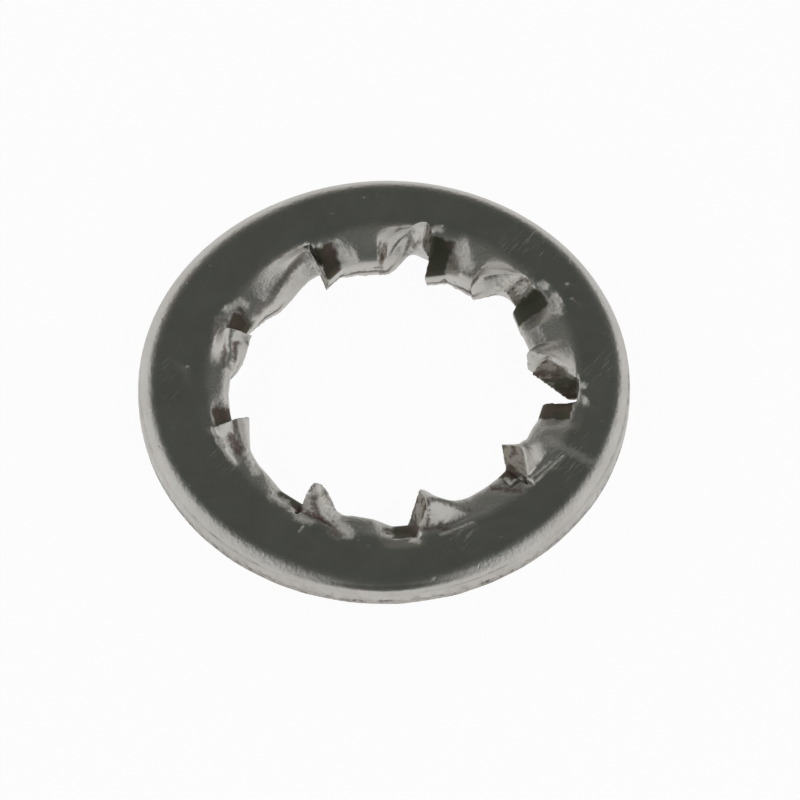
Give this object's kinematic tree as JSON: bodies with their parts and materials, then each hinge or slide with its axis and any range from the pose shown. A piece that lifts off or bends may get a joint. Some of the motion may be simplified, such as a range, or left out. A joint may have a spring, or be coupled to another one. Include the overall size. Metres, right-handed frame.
{
  "type": "toothed lock washer",
  "caption": "Internal-tooth lock washer: a flat stamped steel ring whose inner teeth are folded and twisted to bite the nut and the work.",
  "frame": {"origin": "centre of the rim, on the surface that the lowered tooth corners stand on", "axes": "+Z along the screw, up through the ring's top face, which is the die side with the rolled outer edge"},
  "size_m": [0.018, 0.018, 0.0027],
  "materials": {
    "stainless_steel": "barrel-tumbled stainless sheet, fine random scratches, brighter on the folds and the rolled edge"
  },
  "bodies": {
    "root": {"lock_washer": "stainless_steel"}
  },
  "joints": []
}
